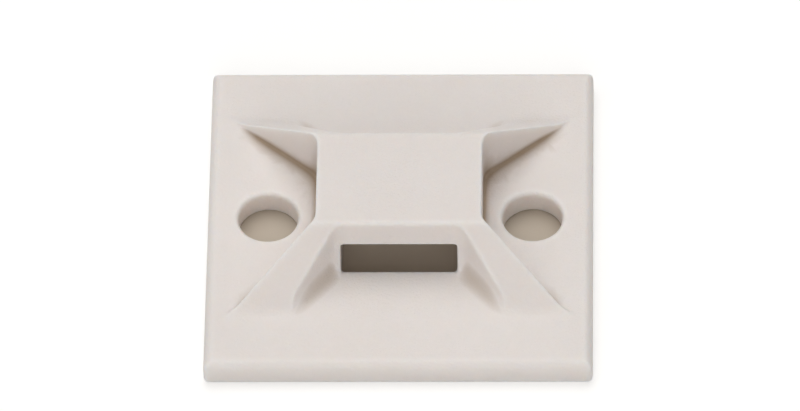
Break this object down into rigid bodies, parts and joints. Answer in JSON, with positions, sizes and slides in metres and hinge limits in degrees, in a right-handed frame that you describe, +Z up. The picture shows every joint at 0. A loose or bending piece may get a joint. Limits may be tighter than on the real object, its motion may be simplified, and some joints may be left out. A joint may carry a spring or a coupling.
{
  "type": "cable tie mount",
  "caption": "Square plate with a raised hourglass block that leads a cable tie under a low bridge between two funnels, and a screw hole in each side pocket.",
  "frame": {"origin": "middle of the underside", "axes": "+X along the bundle and through both screw holes, +Y along the tie, +Z up out of the flat top"},
  "size_m": [0.028, 0.028, 0.0063],
  "materials": {
    "nylon": "satin, as moulded"
  },
  "bodies": {
    "root": {"mount_body": "nylon"}
  },
  "joints": []
}
